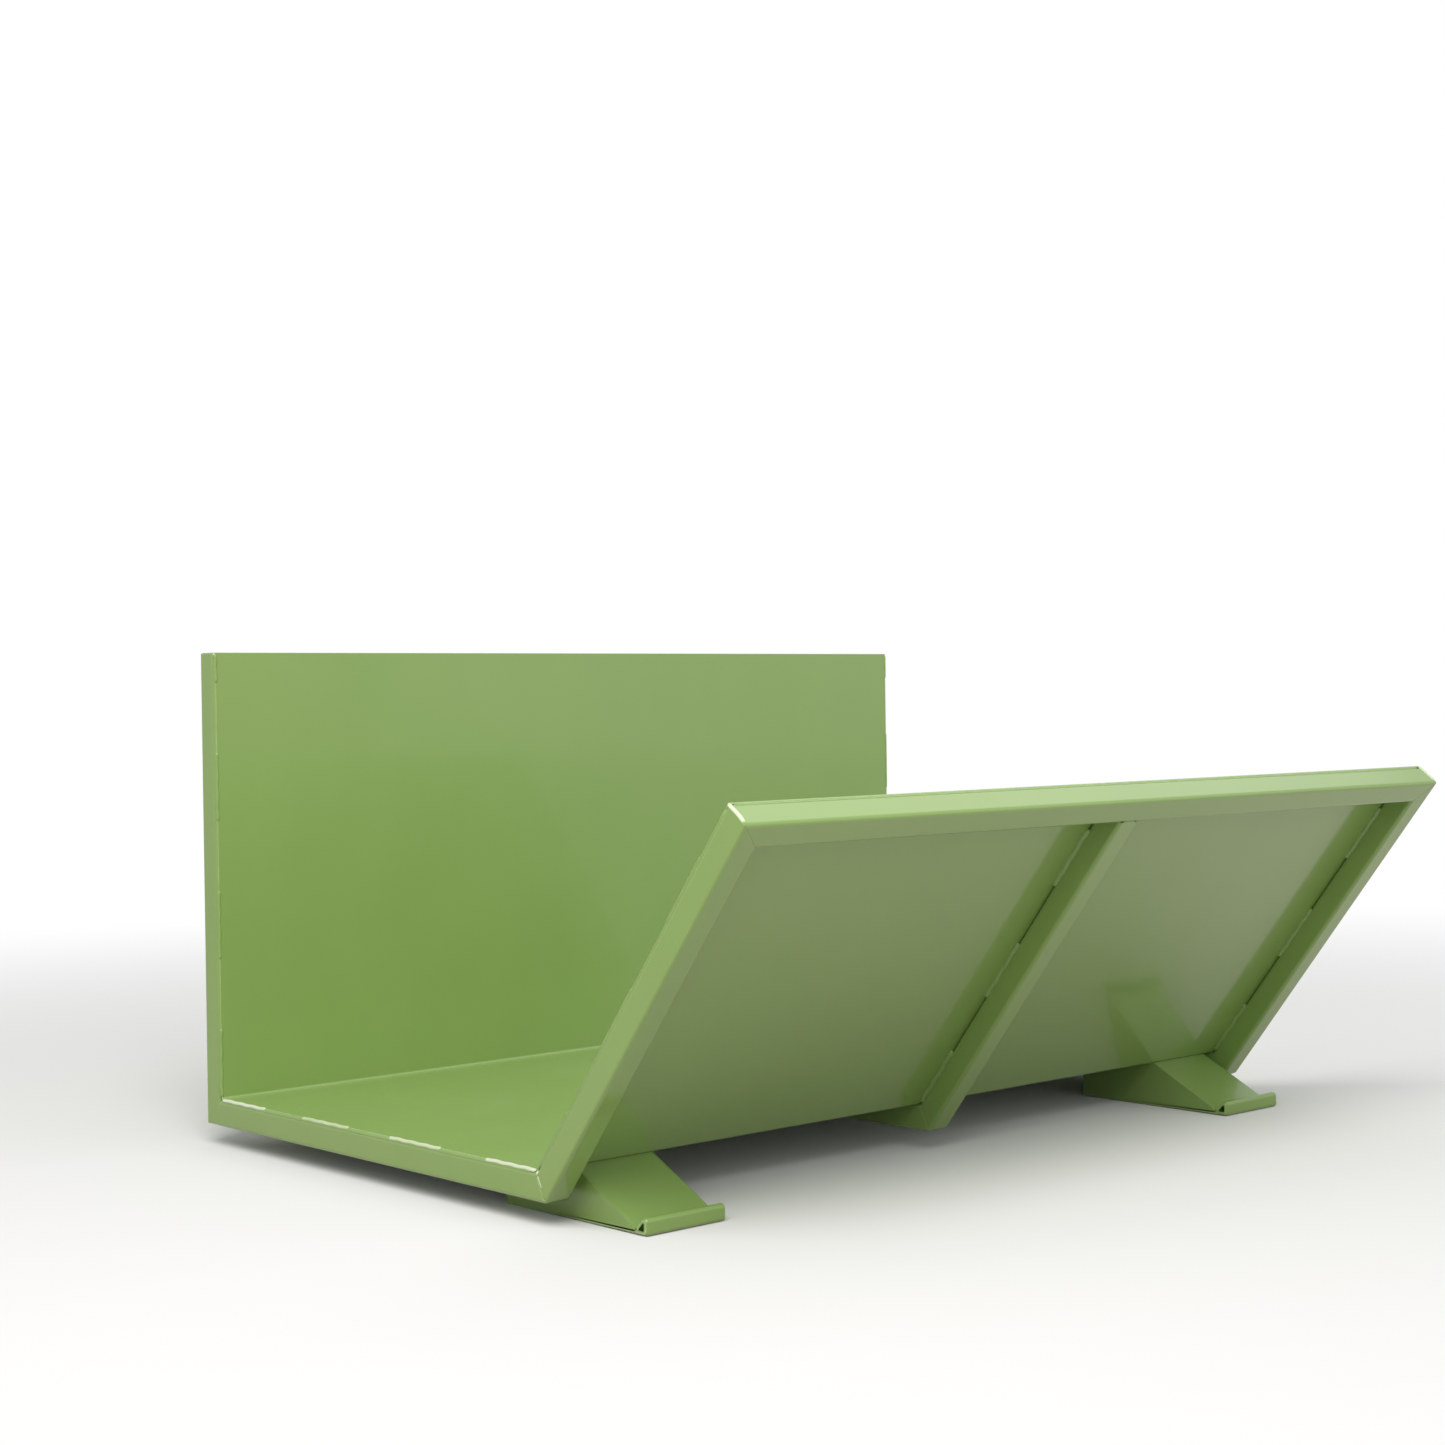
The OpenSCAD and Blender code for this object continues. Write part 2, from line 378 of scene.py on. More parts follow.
@dataclass(frozen=True)
class TurnedSteel:
    """Oiled steel with the rings that a lathe leaves around an axis along X."""

    axis_y: float
    axis_z: float
    name: str = "turned_steel"
    ring_pitch: float = 0.35 * MM
    clean: Colour = (0.52, 0.52, 0.51, 1.0)
    oiled: Colour = (0.33, 0.32, 0.29, 1.0)

    def shade(self, wiring: Wiring) -> None:
        """Adds the steel's nodes."""
        place = wiring.place()
        from_axis_y = wiring.node("ShaderNodeSeparateXYZ", {}, {0: place}, 1) - self.axis_y
        from_axis_z = wiring.node("ShaderNodeSeparateXYZ", {}, {0: place}, 2) - self.axis_z
        radius = (from_axis_y * from_axis_y + from_axis_z * from_axis_z) ** 0.5
        rings = (radius * (math.tau / self.ring_pitch)).wave() * 0.5 + 0.5
        oil = wiring.noise(130.0, 4.0).ramp(0.4, 0.7)
        wiring.surface(
            Base_Color=wiring.mixed(oil, self.clean, self.oiled),
            Metallic=1.0,
            Roughness=0.3 + rings * 0.12 + oil * 0.12,
            Normal=wiring.bump(rings, 0.3, 0.0001),
        )


@dataclass(frozen=True)
class StudioFloor:
    """A pale floor that fades into the white background."""

    name: str = "studio_floor"
    seen: Colour = (0.76, 0.757, 0.752, 1.0)
    seen_grain: Colour = (0.735, 0.73, 0.725, 1.0)
    near: Colour = (0.65, 0.62, 0.59, 1.0)
    far: Colour = (0.565, 0.545, 0.52, 1.0)
    fade_from: float = 1.3
    fade_to: float = 4.5
    glow: float = 0.5

    def layer(
        self, wiring: Wiring, fade: Signal, paint: tuple[Colour, Colour], glow: float
    ) -> Signal:
        """One of the floor's two layers.

        Args:
            wiring: where it is wired.
            fade: 0 where the paint shows and 1 where the white does.
            paint: the paint's two colours.
            glow: the strength of the white.

        Returns:
            The layer's shader.
        """
        colour = wiring.mixed(wiring.noise(9.0, 4.0) * 0.3, *paint)
        matt = wiring.node("ShaderNodeBsdfDiffuse", {}, {"Color": colour, "Roughness": 0.8})
        white = wiring.node("ShaderNodeEmission", {}, {"Color": WHITE, "Strength": glow})
        return wiring.node("ShaderNodeMixShader", {}, {0: fade, 1: matt, 2: white})

    def shade(self, wiring: Wiring) -> None:
        """Adds the floor's nodes: a layer that lights the part, and a lighter one that shows."""
        length = {"operation": "LENGTH"}
        away = wiring.node("ShaderNodeVectorMath", length, {0: wiring.place()}, 1)
        fade = away.ramp(self.fade_from, self.fade_to)
        lights = self.layer(wiring, fade, (self.near, self.far), self.glow)
        shows = self.layer(wiring, fade, (self.seen, self.seen_grain), 1.0)
        direct = wiring.node("ShaderNodeLightPath", output="Is Camera Ray")
        both = wiring.node("ShaderNodeMixShader", {}, {0: direct, 1: lights, 2: shows})
        wiring.node("ShaderNodeOutputMaterial", {}, {"Surface": both})


SHEET_ENAMEL = Enamel("leaf_green_sheet", scratches=0.25)
FRAME_ENAMEL = Enamel("leaf_green_frame", edge_highlight_and_wear=0.15)
# Weld beads painted pale: a painted highlight that stands in for the glint of light on them.
PAINTED_GLINT_WELD = Enamel(
    "leaf_green_painted_glint_welds",
    fresh=(0.80, 0.85, 0.66, 1.0),
    deep=(0.55, 0.66, 0.36, 1.0),
    roughness=0.16,
)
TOE_ENAMEL = Enamel("leaf_green_toes", scuff_height=3.0 * MM)
CLAMP_ENAMEL = Enamel("leaf_green_clamps", scuff_height=2.0 * MM)


# ---- Mesh work ----


def merged_copy(node: str) -> BMesh:
    """Copies a CAD node's mesh, with its loose triangles joined into flat faces.

    Args:
        node: the CAD node's name.

    Returns:
        The copy, a closed mesh.
    """
    mesh = bmesh.new()
    mesh.from_mesh(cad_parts[node].data)
    bmesh.ops.remove_doubles(mesh, verts=mesh.verts, dist=TOUCHING)
    bmesh.ops.dissolve_limit(
        mesh, angle_limit=math.radians(0.3), verts=mesh.verts, edges=mesh.edges, delimit=set()
    )
    bmesh.ops.recalc_face_normals(mesh, faces=mesh.faces)
    return mesh


def bevel(
    mesh: BMesh, edges: list[BMEdge], width: float, segments: int, clamp: bool
) -> list[BMFace]:
    """Bevels some edges.

    Args:
        mesh: the mesh, changed in place.
        edges: the edges.
        width: the bevel's offset.
        segments: how many steps the bevel has.
        clamp: whether it stops where bevels would meet.

    Returns:
        The bevel's faces.
    """
    made = bmesh.ops.bevel(
        mesh,
        geom=edges,
        offset=width,
        offset_type="OFFSET",
        segments=segments,
        profile=0.5,
        affect="EDGES",
        clamp_overlap=clamp,
        material=-1,
    )
    return made["faces"]


def cut_away(mesh: BMesh, place: Vector, outward: Vector, parts: list[Any] | None = None) -> None:
    """Cuts off what lies outside a plane and closes the cut.

    Args:
        mesh: the mesh, changed in place.
        place: a point on the plane.
        outward: the plane's direction, towards what is cut off.
        parts: the vertices, edges and faces to cut, or none for all.
    """
    cut = bmesh.ops.bisect_plane(
        mesh,
        geom=parts or mesh.verts[:] + mesh.edges[:] + mesh.faces[:],
        plane_co=place,
        plane_no=outward,
        clear_outer=True,
    )
    rim = [e for e in cut["geom_cut"] if isinstance(e, BMEdge)]
    bmesh.ops.holes_fill(mesh, edges=rim, sides=0)


def soften_edges(mesh: BMesh, width: float, sharper_than: float = 32.0) -> None:
    """Bevels a mesh's sharp edges and marks the bevels for the enamel's painted edge highlight and
    wear.

    Args:
        mesh: the mesh, changed in place.
        width: the bevel's offset.
        sharper_than: the angle in degrees past which an edge is sharp.
    """
    highlight_and_wear = mesh.faces.layers.float.get(HIGHLIGHT_AND_WEAR_EDGE) or mesh.faces.layers.float.new(HIGHLIGHT_AND_WEAR_EDGE)
    limit = math.radians(sharper_than)
    sharp = [e for e in mesh.edges if len(e.link_faces) == 2 and e.calc_face_angle() > limit]
    for face in bevel(mesh, sharp, width, 2, clamp=True):
        face[highlight_and_wear] = 1.0


def softened_copy(node: str, width: float) -> BMesh:
    """A merged copy of a CAD node with softened edges."""
    mesh = merged_copy(node)
    soften_edges(mesh, width)
    return mesh


@dataclass(frozen=True)
class Piece:
    """What a finished piece is called, what it rides on and what it stands for."""

    name: str
    slot: Slot
    finish: Finish
    body: str = "trough"
    replaced: tuple[str, ...] = ()
    smooth_below: float = 50.0

    def finish_mesh(self, mesh: BMesh) -> None:
        """Turns a worked mesh into the piece, dresses it and hands it to the frame.

        Args:
            mesh: the worked mesh, which is used up.
        """
        data = bpy.data.meshes.new(self.name)
        mesh.to_mesh(data)
        mesh.free()
        data.polygons.foreach_set("use_smooth", [True] * len(data.polygons))
        data.set_sharp_from_angle(angle=math.radians(self.smooth_below))
        made = bpy.data.objects.new(self.name, data)
        bpy.context.scene.collection.objects.link(made)
        data.materials.append(material_for(self.finish))
        weighted = made.modifiers.new("weighted_normals", "WEIGHTED_NORMAL")
        weighted.keep_sharp = True
        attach(made, self.body)
        if self.replaced:
            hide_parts(*self.replaced)
        LOG.info("%s: %d faces, rides on %s", self.name, len(data.polygons), self.body)


def painted(node: str, slot: Slot, finish: Finish, mesh: BMesh) -> None:
    """Hands over the worked copy of a CAD node as its painted piece."""
    Piece(f"{node}_painted", slot, finish, replaced=(node,)).finish_mesh(mesh)


# ---- Welds ----


@dataclass(frozen=True)
class Bead:
    """A weld bead's section, its ripples and how far it wavers, as a share of its width."""

    half_width: float
    height: float
    ripple_pitch: float = 3.6 * MM
    ripple_depth: float = 0.1
    waver: float = 0.12
    waver_rate: float = 190.0
    waver_shift: float = 71.0
    taper: float = 1.6


@dataclass(frozen=True)
class WeldRun:
    """A straight run of weld: rounded ends, even ripples and a slight waver."""

    start: Vector
    end: Vector
    crown: Vector
    bead: Bead

    def add_to(self, mesh: BMesh) -> None:
        """Adds the run to a mesh of welds."""
        bead = self.bead
        along = self.end - self.start
        length = along.length
        axis = along.normalized()
        crown = (self.crown - axis * self.crown.dot(axis)).normalized()
        across = crown.cross(axis)
        rings = max(8, round(length / bead.ripple_pitch) * 2)
        made = bmesh.ops.create_uvsphere(mesh, u_segments=8, v_segments=rings, radius=1.0)
        for vertex in made["verts"]:
            share = math.acos(max(-1.0, min(1.0, vertex.co.z))) / math.pi
            reach = share * length
            to_end = min(reach, length - reach) / (bead.taper * bead.half_width)
            taper = math.sqrt(max(0.0, 1.0 - (1.0 - min(1.0, to_end)) ** 2))
            ripple = 1.0 + bead.ripple_depth * math.sin(math.tau * reach / bead.ripple_pitch)
            phase = reach * bead.waver_rate + self.start.x * bead.waver_shift
            waver = bead.waver * bead.half_width * math.sin(phase)
            flat = vertex.co.xy
            if flat.length > 1e-6:
                flat = flat.normalized() * taper * ripple
            vertex.co = (
                self.start
                + axis * reach
                + across * (flat.x * bead.half_width + waver * taper)
                + crown * (flat.y * bead.height)
            )


@dataclass(frozen=True)
class WeldRing:
    """A ring of weld around an axis along X."""

    centre: Vector
    radius: float
    thickness: float = 2.4 * MM
    ripples: int = 26

    def add_to(self, mesh: BMesh) -> None:
        """Adds the ring to a mesh of welds."""
        ring = bmesh.ops.create_circle(
            mesh,
            segments=8,
            radius=self.thickness,
            matrix=Matrix.Translation(self.centre + Vector((0, self.radius, 0))),
        )["verts"]
        loop = list(dict.fromkeys(edge for vertex in ring for edge in vertex.link_edges))
        before = set(mesh.verts) - set(ring)
        bmesh.ops.spin(
            mesh,
            geom=ring + loop,
            cent=self.centre,
            axis=(1, 0, 0),
            angle=math.tau,
            steps=self.ripples * 3,
            use_merge=True,
        )
        for vertex in set(mesh.verts) - before:
            spoke = vertex.co - self.centre
            spoke.x = 0.0
            angle = math.atan2(spoke.z, spoke.y)
            core = self.centre + spoke.normalized() * self.radius
            vertex.co = core + (vertex.co - core) * (1.0 + 0.1 * math.sin(angle * self.ripples))


Weld = WeldRun | WeldRing


def weld_piece(name: str, slot: Slot, finish: Finish, welds: Iterable[Weld]) -> None:
    """Makes one piece of a set of welds.

    Args:
        name: the piece's name.
        slot: the record's slot for its finish.
        finish: its finish.
        welds: the runs and rings in it.
    """
    mesh = bmesh.new()
    for weld in welds:
        weld.add_to(mesh)
    bmesh.ops.remove_doubles(mesh, verts=mesh.verts, dist=TOUCHING)
    bmesh.ops.recalc_face_normals(mesh, faces=mesh.faces)
    Piece(name, slot, finish, smooth_below=75.0).finish_mesh(mesh)


@dataclass(frozen=True)
class Stitching:
    """How welds are spaced along a seam."""

    length: float = 108.0 * MM
    pitch: float = 216.0 * MM
    shortest: float = 20.0 * MM

    def spans(self, start: float, end: float) -> Iterator[Span]:
        """Yields where each stitch starts and ends between two places along a seam."""
        here = start
        while here < end - self.shortest:
            yield here, min(here + self.length, end)
            here += self.pitch


# ---- The trough ----


@dataclass(frozen=True)
class Flat:
    """One flat of the folded sheet, measured from the fold on its inner face."""

    name: str
    fold: Vector
    along: Vector
    outward: Vector
    length: float

    def at(self, x: float, along: float, out: float) -> Vector:
        """A point at x, so far along the flat and so far outside its inner face."""
        return Vector((x, 0, 0)) + self.fold + self.along * along + self.outward * out

    def up(self, x: float, span: Span, out: float, crown: Vector, bead: Bead) -> WeldRun:
        """A weld run that climbs the flat at x."""
        return WeldRun(self.at(x, span[0], out), self.at(x, span[1], out), crown, bead)

    def level(self, span: Span, along: float, out: float, crown: Vector, bead: Bead) -> WeldRun:
        """A weld run along X at one height of the flat."""
        return WeldRun(self.at(span[0], along, out), self.at(span[1], along, out), crown, bead)


@dataclass
class TroughShape:
    """The folded sheet's flats and the frame that backs them."""

    sheet_t: float = 3.0 * MM
    tube: float = 40.0 * MM
    front_angle: float = math.radians(52.0)
    front_s: float = 625.0 * MM
    length: float = field(init=False)
    flats: tuple[Flat, Flat, Flat] = field(init=False)

    def __post_init__(self) -> None:
        """Places the flats from the CAD sheet's box."""
        low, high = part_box("trough_sheet")
        frame_low, frame_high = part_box("front_top_tube")
        self.length = frame_high.x - frame_low.x
        floor_z = low.z + self.sheet_t
        back_y = high.y - self.sheet_t
        slope = Vector((0.0, -math.cos(self.front_angle), math.sin(self.front_angle)))
        outward = Vector((0.0, -slope.z, slope.y))
        front_y = low.y - outward.y * self.sheet_t - slope.y * self.front_s
        back_fold = Vector((0, back_y, floor_z))
        backward, down = Vector((0, 1, 0)), Vector((0, 0, -1))
        self.flats = (
            Flat("back", back_fold, -down, backward, high.z - floor_z),
            Flat("floor", back_fold, -backward, down, back_y - front_y),
            Flat("front", Vector((0, front_y, floor_z)), slope, outward, self.front_s),
        )

    @property
    def half(self) -> float:
        """Half the trough's length."""
        return self.length / 2

    def mitre(self) -> Vector:
        """The direction of the mitre below the front fold, away from the sheet."""
        return (self.flats[1].outward + self.flats[2].outward).normalized()


SEALER_BEAD = Bead(4.2 * MM, 3.9 * MM, 24.0 * MM, ripple_depth=0.0, waver=0.0)
EDGE_BEAD = Bead(3.0 * MM, 2.1 * MM)
RIB_BEAD = Bead(4.6 * MM, 3.2 * MM)
TOP_BEAD = Bead(4.0 * MM, 3.2 * MM)
CORNER_BEAD = Bead(3.1 * MM, 2.3 * MM)
MITRE_BEAD = Bead(3.2 * MM, 3.0 * MM)
GROUND_MITRE_BEAD = Bead(4.6 * MM, 3.0 * MM, 9.0 * MM, ripple_depth=0.03)
GROUND_TOP_BEAD = Bead(2.9 * MM, 2.1 * MM, 24.0 * MM, ripple_depth=0.03)
GROUND_END_BEAD = Bead(2.2 * MM, 1.0 * MM, 12.0 * MM, ripple_depth=0.03)
TOE_BEAD = Bead(4.0 * MM, 3.0 * MM)
CLAMP_BEAD = Bead(4.6 * MM, 3.4 * MM)


@dataclass
class FoldedSheet:
    """The sheet that makes the back wall, the floor and the front wall."""

    shape: TroughShape
    edge_radius: float = 0.7 * MM
    sealer_inset: float = 4.3 * MM
    sealer_depth: float = 4.2 * MM
    stitch_inset: float = 3.2 * MM
    stitch_depth: float = 1.3 * MM
    end_gap: float = 2.0 * MM
    wall_stitches: Stitching = Stitching()
    floor_stitches: Stitching = Stitching(126.0 * MM, 230.0 * MM)

    def edge_fillers(self) -> Iterator[WeldRun]:
        """Yields the runs of sealer that fill the step beside the sheet's side edges."""
        for flat in self.shape.flats:
            for sign in (-1, 1):
                x = sign * (self.shape.half - self.sealer_inset)
                span = (self.end_gap, flat.length - 2 * self.end_gap)
                crown = Vector((sign, 0, 0)) - flat.outward
                yield flat.up(x, span, self.sealer_depth, crown, SEALER_BEAD)

    def edge_welds(self, flats: Iterable[Flat]) -> Iterator[WeldRun]:
        """Yields the stitches that join the sheet's side edges to the end ribs.

        Args:
            flats: the flats whose edges are wanted.

        Yields:
            Each stitch.
        """
        for flat in flats:
            stitches = self.floor_stitches if flat.name == "floor" else self.wall_stitches
            for sign in (-1, 1):
                x = sign * (self.shape.half - self.stitch_inset)
                crown = Vector((sign, 0, 0)) - flat.outward
                for span in stitches.spans(self.end_gap, flat.length - self.end_gap):
                    yield flat.up(x, span, self.stitch_depth, crown, EDGE_BEAD)

    def build(self) -> None:
        """Builds the sheet and its edge welds; the floor's edge welds are painted pale, as a
        painted highlight.
        """
        back, floor, front = self.shape.flats
        mesh = softened_copy("trough_sheet", self.edge_radius)
        sheet = Piece("folded_sheet", Slot.SHEET, SHEET_ENAMEL, replaced=("trough_sheet",))
        sheet.finish_mesh(mesh)
        weld_piece("sheet_edge_fillers", Slot.FRAME, FRAME_ENAMEL, self.edge_fillers())
        weld_piece("wall_edge_welds", Slot.FRAME, FRAME_ENAMEL, self.edge_welds((back, front)))
        weld_piece("floor_edge_welds", Slot.FRAME, PAINTED_GLINT_WELD, self.edge_welds((floor,)))


@dataclass
class TubeFrame:
    """The square-tube ribs, the tubes along the top edges and the welds between them."""

    shape: TroughShape
    mitre_radius: float = 0.5 * MM
    rib_stitches: Stitching = Stitching()
    rib_start: float = 4.0 * MM
    bay_start: float = 50.0 * MM
    bay_end: float = 30.0 * MM
    root_gap: float = 0.6 * MM
    root_depth: float = 1.2 * MM
    corner_inset: float = 3.7 * MM
    corner_lean: float = 0.6
    back_corner_drop: float = 3.1 * MM
    front_corner_drop: float = 1.0 * MM
    corner_start: float = 0.6 * MM
    corner_stop: float = 5.5 * MM
    mitre_inset: float = 3.4 * MM
    mitre_start: float = 1.0 * MM
    corner_run: float = 27.0 * MM
    groove: float = 2.6 * MM
    seam_reach: float = 0.2 * MM
    ground_overlap: float = 3.0 * MM
    ground_inset: float = 3.3 * MM
    ground_reach: float = 43.5 * MM
    top_drop: float = 2.3 * MM
    top_depth: float = 0.9 * MM
    top_inset: float = 4.0 * MM
    end_inset: float = 5.0 * MM
    end_depth: float = 1.1 * MM
    fold_grind: float = 2.4 * MM
    side_grind: float = 1.4 * MM
    grind_slope: float = math.radians(13.0)
    top_grind: float = 2.1 * MM

    @property
    def walls(self) -> tuple[Flat, Flat]:
        """The two upright flats."""
        back, _, front = self.shape.flats
        return back, front

    def rib_sides(self) -> Iterator[Span]:
        """Yields each rib side that meets open sheet: its place along X and its outward sign."""
        half, tube = self.shape.half, self.shape.tube
        yield from ((tube - half, 1), (-tube / 2, -1), (tube / 2, 1), (half - tube, -1))

    def rib_welds(self) -> Iterator[WeldRun]:
        """Yields the stitches between the ribs and the sheet's outer faces."""
        depth = self.shape.sheet_t + self.root_depth
        for flat in self.shape.flats:
            reach = flat.length if flat.name == "floor" else flat.length - self.shape.tube
            for x, sign in self.rib_sides():
                root = x + sign * self.root_gap
                crown = flat.outward + Vector((sign, 0, 0))
                for span in self.rib_stitches.spans(self.rib_start, reach):
                    yield flat.up(root, span, depth, crown, RIB_BEAD)

    def top_welds(self) -> Iterator[WeldRun]:
        """Yields the stitches under the top tubes, between the ribs."""
        half, tube = self.shape.half, self.shape.tube
        depth = self.shape.sheet_t + self.root_depth
        for flat in self.walls:
            level = flat.length - tube - self.root_gap
            crown = flat.outward - flat.along
            for low, high in ((tube - half, -tube / 2), (tube / 2, half - tube)):
                for span in self.rib_stitches.spans(low + self.bay_start, high - self.bay_end):
                    yield flat.level(span, level, depth, crown, TOP_BEAD)

    def corner_welds(self) -> Iterator[WeldRun]:
        """Yields the short runs that close the mitres at the trough's corners."""
        depth = self.shape.sheet_t + self.shape.tube
        drops = (self.back_corner_drop, self.front_corner_drop)
        fold, mitre = self.shape.flats[2], self.shape.mitre()
        for sign in (-1, 1):
            x = sign * (self.shape.half - self.corner_inset)
            for flat, drop in zip(self.walls, drops):
                yield WeldRun(
                    flat.at(x, flat.length - drop, self.corner_start),
                    flat.at(x, flat.length - drop, depth - self.corner_stop),
                    flat.along + Vector((sign * self.corner_lean, 0, 0)),
                    CORNER_BEAD,
                )
            edge = fold.at(sign * (self.shape.half - self.mitre_inset), 0, 0)
            yield WeldRun(
                edge + mitre * self.mitre_start,
                edge + mitre * self.corner_run,
                Vector((sign, 0, 0)),
                MITRE_BEAD,
            )

    def ground_welds(self) -> Iterator[WeldRun]:
        """Yields the runs ground nearly flush: on the mitres, the top edges and the rib's ends."""
        half, tube, sheet_t = self.shape.half, self.shape.tube, self.shape.sheet_t
        fold, mitre = self.shape.flats[2], self.shape.mitre()
        for sign in (-1, 1):
            edge = fold.at(sign * (half - self.ground_inset), 0, 0)
            yield WeldRun(
                edge + mitre * (self.corner_run - self.ground_overlap),
                edge + mitre * self.ground_reach,
                Vector((sign, 0, 0)),
                GROUND_MITRE_BEAD,
            )
        reach = half - self.top_inset
        rib_reach = tube / 2 - self.end_inset
        for flat in self.walls:
            level, depth = flat.length - self.top_drop, sheet_t + self.top_depth
            yield flat.level((-reach, reach), level, depth, flat.along, GROUND_TOP_BEAD)
            level, depth = flat.length - tube, sheet_t + tube - self.end_depth
            yield flat.level((-rib_reach, rib_reach), level, depth, flat.outward, GROUND_END_BEAD)

    def groove_mitre(self, mesh: BMesh) -> None:
        """Opens the mitre below the front fold, on a tube's end face, for its weld."""
        fold, mitre = self.shape.flats[2].fold, self.shape.mitre()

        def on_seam(vertex: BMVert) -> bool:
            """Whether a vertex is on the mitre's line and on an end face."""
            across = (vertex.co - fold).yz - mitre.yz * (vertex.co - fold).dot(mitre)
            at_end = abs(abs(vertex.co.x) - self.shape.half) < self.seam_reach
            return at_end and across.length < self.seam_reach

        seam = [edge for edge in mesh.edges if all(on_seam(vertex) for vertex in edge.verts)]
        if seam:
            bevel(mesh, seam, self.groove, 1, clamp=False)

    def grind_corners(self, mesh: BMesh) -> None:
        """Grinds the sharp outer corners of the mitres off a tube."""
        front = self.shape.flats[2]
        mitre = self.shape.mitre()
        reach = (self.shape.sheet_t + self.shape.tube) / mitre.dot(front.outward)
        cuts = [(front.fold + mitre * (reach - self.fold_grind), mitre)]
        for slope in (self.grind_slope, -self.grind_slope):
            way = Matrix.Rotation(slope, 3, "X") @ mitre
            cuts.append((front.fold + mitre * (reach - self.side_grind), way))
        for flat in self.walls:
            for sign in (-1, 1):
                way = (Vector((sign, 0, 0)) + flat.along).normalized()
                corner = flat.at(sign * self.shape.half, flat.length, 0.0)
                cuts.append((corner - way * self.top_grind, way))
        for place, way in cuts:
            if min((place - vertex.co).dot(way) for vertex in mesh.verts) < -TOUCHING:
                cut_away(mesh, place, way)
        if any(len(edge.link_faces) != 2 for edge in mesh.edges):
            LOG.warning("a ground tube is left open")

    def build(self) -> None:
        """Builds every tube and its welds."""
        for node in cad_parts:
            if node.endswith("_tube"):
                mesh = merged_copy(node)
                self.groove_mitre(mesh)
                soften_edges(mesh, self.mitre_radius)
                self.grind_corners(mesh)
                painted(node, Slot.FRAME, FRAME_ENAMEL, mesh)
        weld_piece("rib_welds", Slot.FRAME, FRAME_ENAMEL, self.rib_welds())
        top_runs = [*self.top_welds(), *self.ground_welds()]
        weld_piece("top_tube_welds", Slot.FRAME, FRAME_ENAMEL, top_runs)
        # The corner welds are painted pale too, as a painted highlight.
        weld_piece("corner_welds", Slot.FRAME, PAINTED_GLINT_WELD, self.corner_welds())


@dataclass
class ToePocket:
    """A pocket that takes a fork's tip, with its rolled lip."""

    side: Side
    shape: TroughShape
    plate_radius: float = 0.9 * MM
    lip_h: float = 24.0 * MM
    lip_end_r: float = 4.5 * MM
    lip_steps: tuple[float, ...] = (0.08, 0.3, 0.62, 1.0)
    lip_middle: float = 0.4
    lip_blend: float = 1.6
    weld_gap: float = 0.8 * MM
    weld_depth: float = 1.0 * MM

    def node(self, part: str) -> str:
        """The CAD node's name for one of the pocket's plates."""
        return f"{self.side.word}_toe_{part}"

    def welds(self) -> Iterator[WeldRun]:
        """Yields the runs that join the pocket to the floor's underside."""
        low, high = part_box(self.node("base"))
        fold = self.shape.flats[2].fold
        level = fold.z - self.shape.sheet_t - self.weld_depth
        for edge, sign in ((low.x, -1), (high.x, 1)):
            x = edge + sign * self.weld_gap
            yield WeldRun(
                Vector((x, high.y - 4.0 * MM, level)),
                Vector((x, fold.y + 3.0 * MM, level)),
                Vector((sign, 0, -1)),
                TOE_BEAD,
            )

    def round_lip_ends(self, mesh: BMesh) -> None:
        """Rounds the rolled lip over at both ends, by drawing its section in to its middle.

        Args:
            mesh: the base plate's mesh, changed in place.
        """
        low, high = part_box(self.node("base"))
        middle = Vector((0, low.y + self.lip_h * self.lip_middle, low.z + self.lip_h / 2))
        for end, inward in ((low.x, 1), (high.x, -1)):
            for step in self.lip_steps:
                bmesh.ops.bisect_plane(
                    mesh,
                    geom=mesh.verts[:] + mesh.edges[:] + mesh.faces[:],
                    plane_co=Vector((end + inward * step * self.lip_end_r, 0, 0)),
                    plane_no=Vector((1, 0, 0)),
                )
        for vertex in mesh.verts:
            inset = min(vertex.co.x - low.x, high.x - vertex.co.x) / self.lip_end_r
            behind = (vertex.co.y - low.y) / self.lip_h
            if inset < 1.0 and behind < self.lip_blend:
                drawn = 1.0 - math.sqrt(max(0.0, 1.0 - (1.0 - inset) ** 2))
                share = min(1.0, (self.lip_blend - behind) / (self.lip_blend - 1.0))
                spoke = vertex.co - middle
                spoke.x = 0.0
                vertex.co -= spoke * drawn * share * self.lip_end_r / (self.lip_h / 2)

    def build(self) -> None:
        """Builds the pocket's plates and welds."""
        for part in ("base", "outer_side", "inner_side", "ramp"):
            node = self.node(part)
            mesh = softened_copy(node, self.plate_radius)
            if part == "base":
                self.round_lip_ends(mesh)
            painted(node, Slot.TOE, TOE_ENAMEL, mesh)
        weld_piece(f"{self.side.word}_toe_welds", Slot.TOE, TOE_ENAMEL, self.welds())


